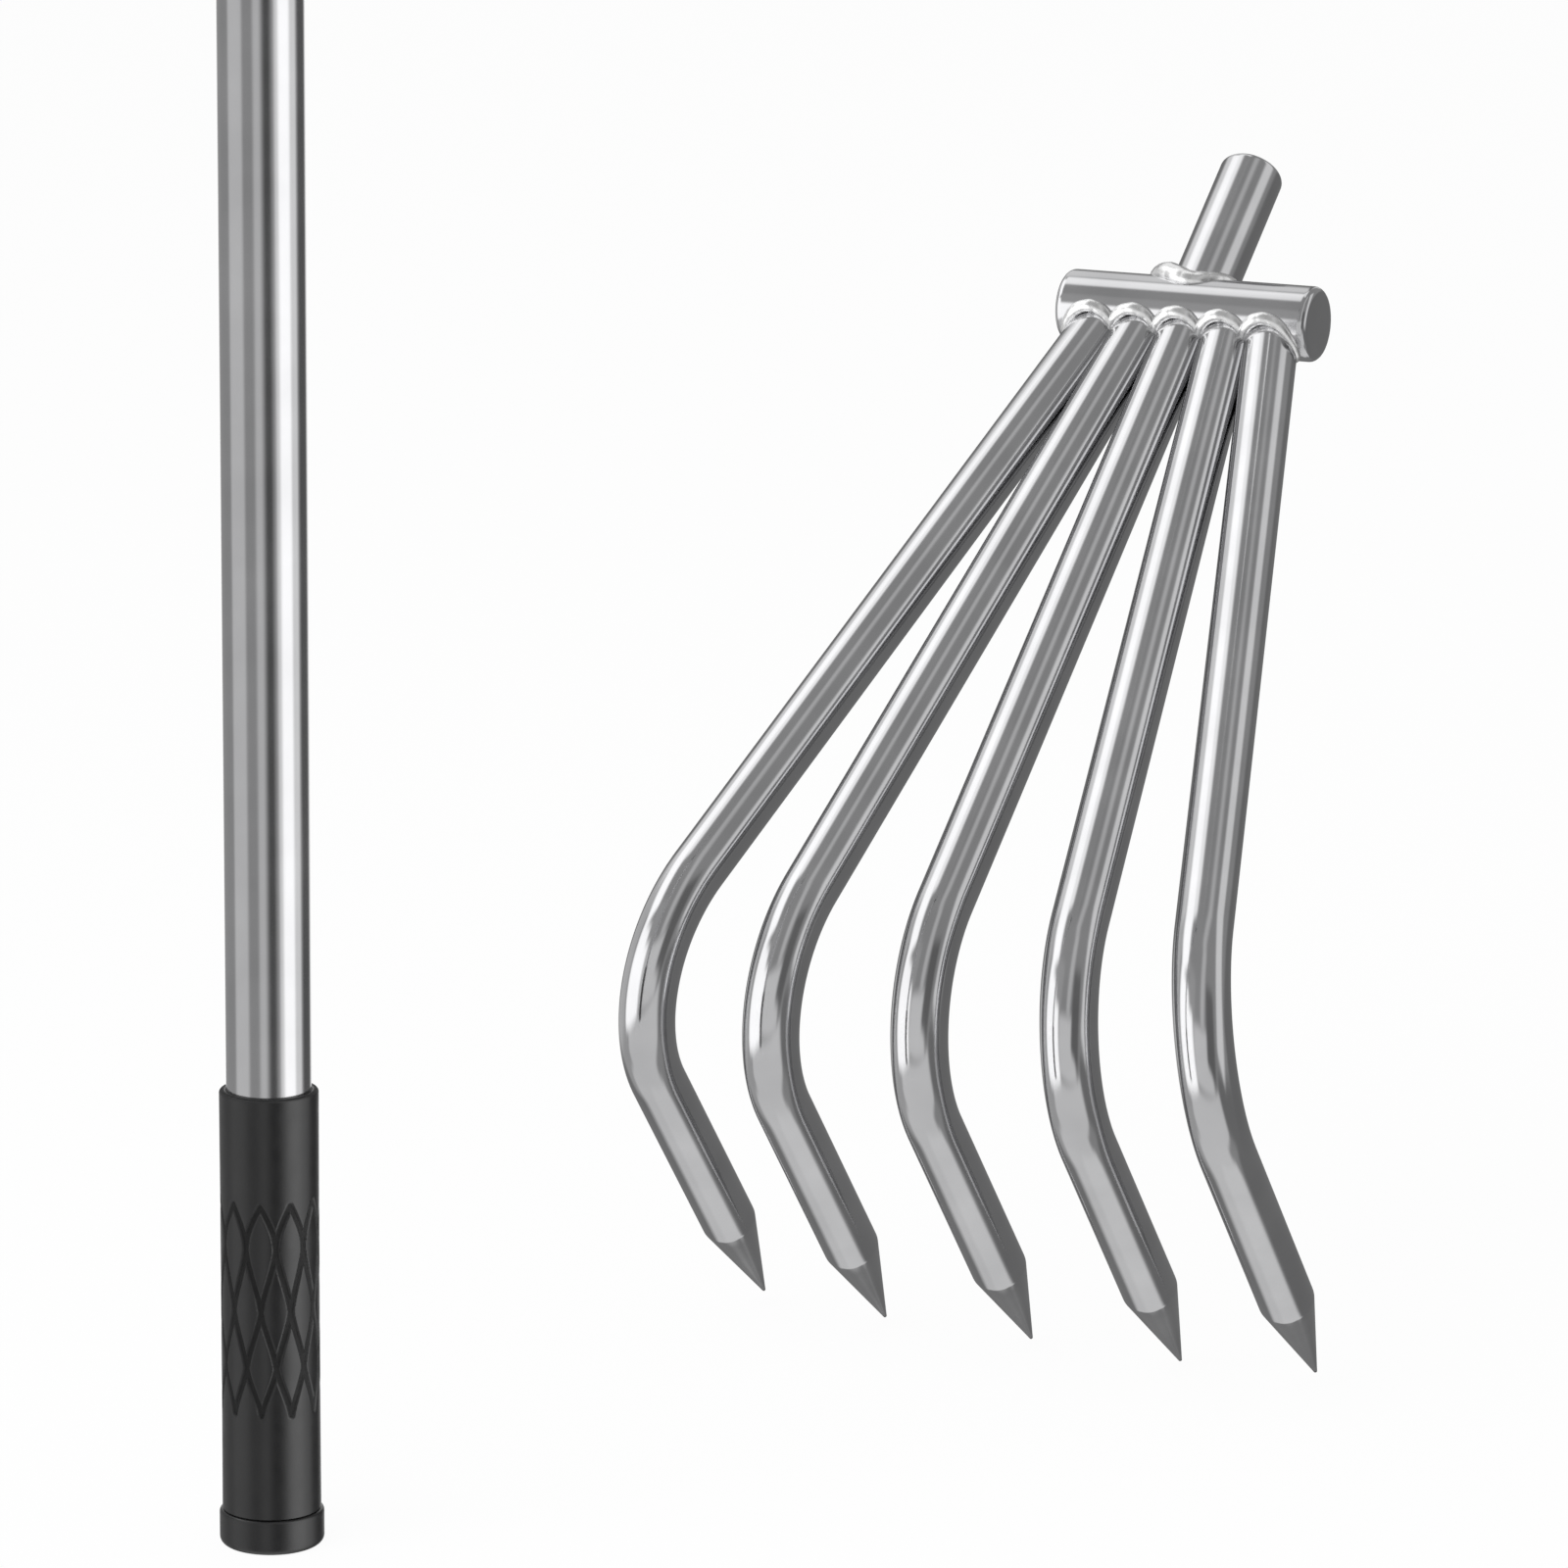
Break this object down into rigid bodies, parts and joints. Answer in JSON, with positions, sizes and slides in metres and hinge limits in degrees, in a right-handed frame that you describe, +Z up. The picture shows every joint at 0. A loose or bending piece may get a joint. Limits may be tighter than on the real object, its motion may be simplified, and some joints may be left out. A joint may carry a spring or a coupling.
{
  "type": "golf ball retriever",
  "caption": "Telescopic steel pole with a rubber grip and twist locks, and a detached claw head of bent, pointed tines on a crossbar that rakes golf balls in.",
  "frame": {"origin": "middle of the butt cap's flat underside", "axes": "+Z up along the pole; the claw head stands behind it, towards +X and +Y, with its hooks towards -Y"},
  "size_m": [0.264, 0.3098, 0.6758],
  "materials": {
    "pole_steel": "polished stainless tube",
    "claw_steel": "polished stainless rod",
    "screw_steel": "turned",
    "grip_rubber": "matt, grooved in diamonds",
    "cap_rubber": "matt",
    "lock_alloy": "satin",
    "lock_plastic": "moulded",
    "guide_nylon": "natural nylon"
  },
  "bodies": {
    "pole_base": {"base_tube": "pole_steel", "grip_sleeve": "grip_rubber", "butt_cap": "cap_rubber", "base_ferrule": "lock_alloy"},
    "base_collet_ring": {"base_collet": "guide_nylon"},
    "base_nut": {"base_lock_nut": "lock_plastic"},
    "mid_section": {"mid_tube": "pole_steel", "mid_stop_bush": "guide_nylon", "mid_ferrule": "lock_alloy"},
    "mid_collet_ring": {"mid_collet": "guide_nylon"},
    "mid_nut": {"mid_lock_nut": "lock_plastic"},
    "tip_section": {"tip_tube": "pole_steel", "tip_stop_bush": "guide_nylon", "socket_sleeve": "lock_alloy", "socket_pin": "screw_steel"},
    "clamp_screw": {"clamp_stud": "screw_steel"},
    "clamp_handle": {"clamp_knob": "lock_plastic"},
    "claw_head": {"stem": "claw_steel", "crossbar": "claw_steel", "tine_1": "claw_steel", "tine_2": "claw_steel", "tine_3": "claw_steel", "tine_4": "claw_steel", "tine_5": "claw_steel"}
  },
  "joints": [
    {"name": "mid_slide", "type": "slide", "parent": "pole_base", "child": "mid_section", "axis": [0, 0, 1], "range_m": [0, 0.505]},
    {"name": "tip_slide", "type": "slide", "parent": "mid_section", "child": "tip_section", "axis": [0, 0, 1], "range_m": [0, 0.5165]},
    {"name": "base_collet_rise", "type": "slide", "parent": "pole_base", "child": "base_collet_ring", "axis": [0, 0, 1], "range_m": [0, 0.00101]},
    {"name": "base_nut_turn", "type": "hinge", "parent": "base_collet_ring", "child": "base_nut", "pos_m": [0, 0, 0.555], "axis": [0, 0, 1], "range_deg": [0, 180]},
    {"name": "mid_collet_rise", "type": "slide", "parent": "mid_section", "child": "mid_collet_ring", "axis": [0, 0, 1], "range_m": [0, 0.00101]},
    {"name": "mid_nut_turn", "type": "hinge", "parent": "mid_collet_ring", "child": "mid_nut", "pos_m": [0, 0, 0.599], "axis": [0, 0, 1], "range_deg": [0, 180]},
    {"name": "clamp_feed", "type": "slide", "parent": "tip_section", "child": "clamp_screw", "axis": [0, 1, 0], "range_m": [0, 0.00201]},
    {"name": "clamp_turn", "type": "hinge", "parent": "clamp_screw", "child": "clamp_handle", "pos_m": [0, -0.024, 0.6578], "axis": [0, 1, 0], "range_deg": [0, 900]},
    {"name": "head_lift", "type": "slide", "parent": "pole_base", "child": "claw_head", "axis": [0, 0, 1], "range_m": [0, 0.3]}
  ],
  "couplings": [
    {"joint": "base_collet_rise", "follows": "base_nut_turn", "m_per_rad": 0.00031831},
    {"joint": "mid_collet_rise", "follows": "mid_nut_turn", "m_per_rad": 0.00031831},
    {"joint": "clamp_feed", "follows": "clamp_turn", "m_per_rad": 0.00012732}
  ]
}
